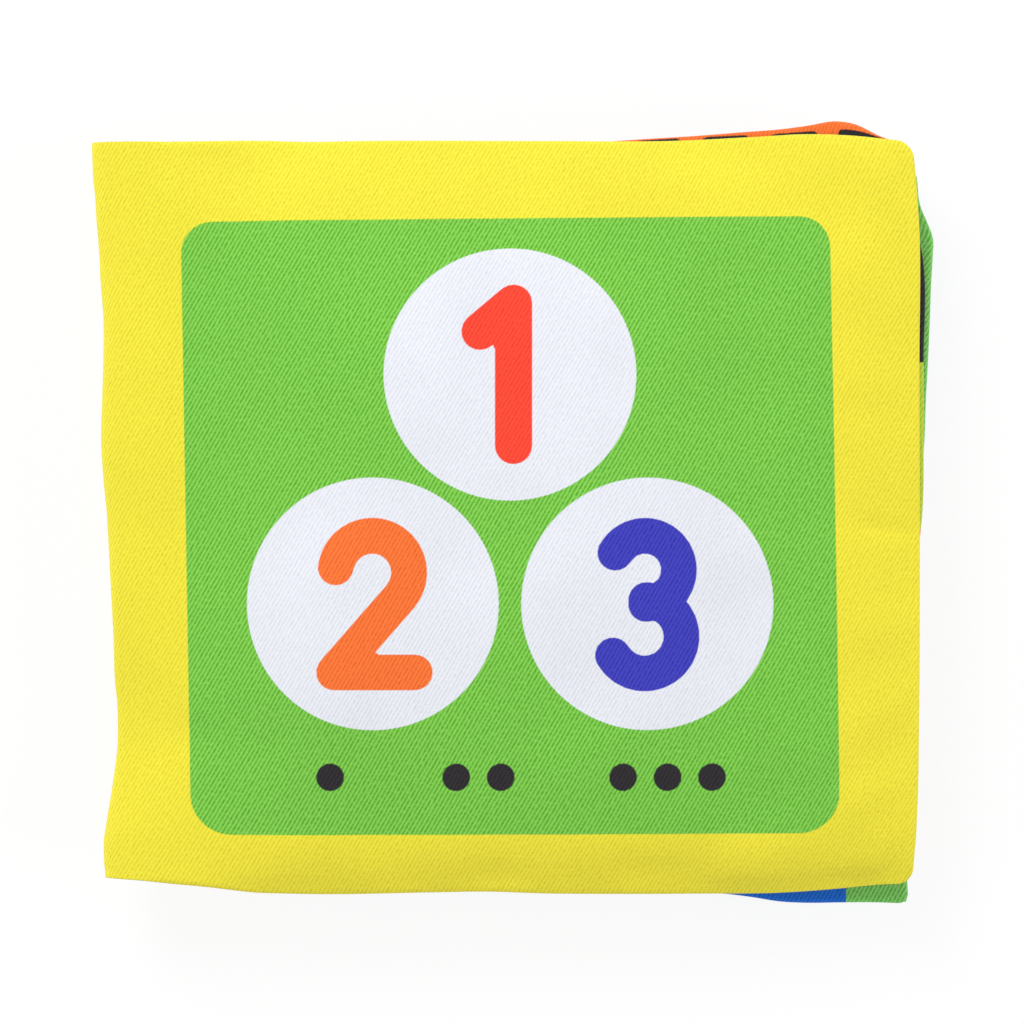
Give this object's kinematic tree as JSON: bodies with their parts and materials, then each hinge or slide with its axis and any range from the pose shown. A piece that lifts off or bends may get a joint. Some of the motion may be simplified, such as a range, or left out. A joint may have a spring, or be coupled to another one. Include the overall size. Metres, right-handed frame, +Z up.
{
  "type": "crinkle cloth book",
  "caption": "Small square soft cloth book with padded printed leaves that hold wadding and crinkle film, sewn together along a folded spine and opening leaf by leaf.",
  "frame": {"origin": "bottom centre of the closed book, on the surface that it lies on", "axes": "+X from the spine to the fore-edge, +Y to the head of the page, +Z up out of the front cover; the spine is at -X"},
  "size_m": [0.1118, 0.1052, 0.0188],
  "materials": {
    "cover_twill": "printed polyester twill, soft matt with a slight sheen",
    "white_page_twill": "printed polyester twill, soft matt",
    "sky_page_twill": "printed polyester twill, soft matt",
    "orange_page_twill": "printed polyester twill, soft matt",
    "red_page_twill": "printed polyester twill, soft matt",
    "green_page_twill": "printed polyester twill, soft matt",
    "blue_page_twill": "printed polyester twill, soft matt",
    "wadding": "needled polyester wadding, matt",
    "crinkle_film": "thin crumpled polyester film",
    "sewing_thread": "spun polyester thread"
  },
  "bodies": {
    "back_cover": {"back_cover_outer_cloth": "cover_twill", "back_cover_inner_cloth": "sky_page_twill", "back_cover_wadding": "wadding", "back_cover_crinkle_film": "crinkle_film", "back_cover_seam_thread": "sewing_thread", "cover_spine_outer_cloth": "cover_twill", "cover_spine_inner_cloth": "white_page_twill", "page_spine_outer_cloth": "orange_page_twill", "page_spine_inner_cloth": "green_page_twill", "spine_thread": "sewing_thread"},
    "second_leaf": {"second_leaf_front_cloth": "green_page_twill", "second_leaf_back_cloth": "blue_page_twill", "second_leaf_wadding": "wadding", "second_leaf_crinkle_film": "crinkle_film", "second_leaf_seam_thread": "sewing_thread"},
    "first_leaf": {"first_leaf_front_cloth": "orange_page_twill", "first_leaf_back_cloth": "red_page_twill", "first_leaf_wadding": "wadding", "first_leaf_crinkle_film": "crinkle_film", "first_leaf_seam_thread": "sewing_thread"},
    "front_cover": {"front_cover_outer_cloth": "cover_twill", "front_cover_inner_cloth": "white_page_twill", "front_cover_wadding": "wadding", "front_cover_crinkle_film": "crinkle_film", "front_cover_seam_thread": "sewing_thread"}
  },
  "joints": [
    {"name": "second_leaf_turn", "type": "hinge", "parent": "back_cover", "child": "second_leaf", "pos_m": [-0.05233, -0.00024, 0.00937], "axis": [0, -1, 0], "range_deg": [0, 45]},
    {"name": "first_leaf_turn", "type": "hinge", "parent": "second_leaf", "child": "first_leaf", "pos_m": [-0.05233, -0.00024, 0.00937], "axis": [0, -1, 0], "range_deg": [0, 45]},
    {"name": "front_cover_turn", "type": "hinge", "parent": "first_leaf", "child": "front_cover", "pos_m": [-0.05233, -0.00024, 0.00937], "axis": [0, -1, 0], "range_deg": [0, 90]}
  ]
}
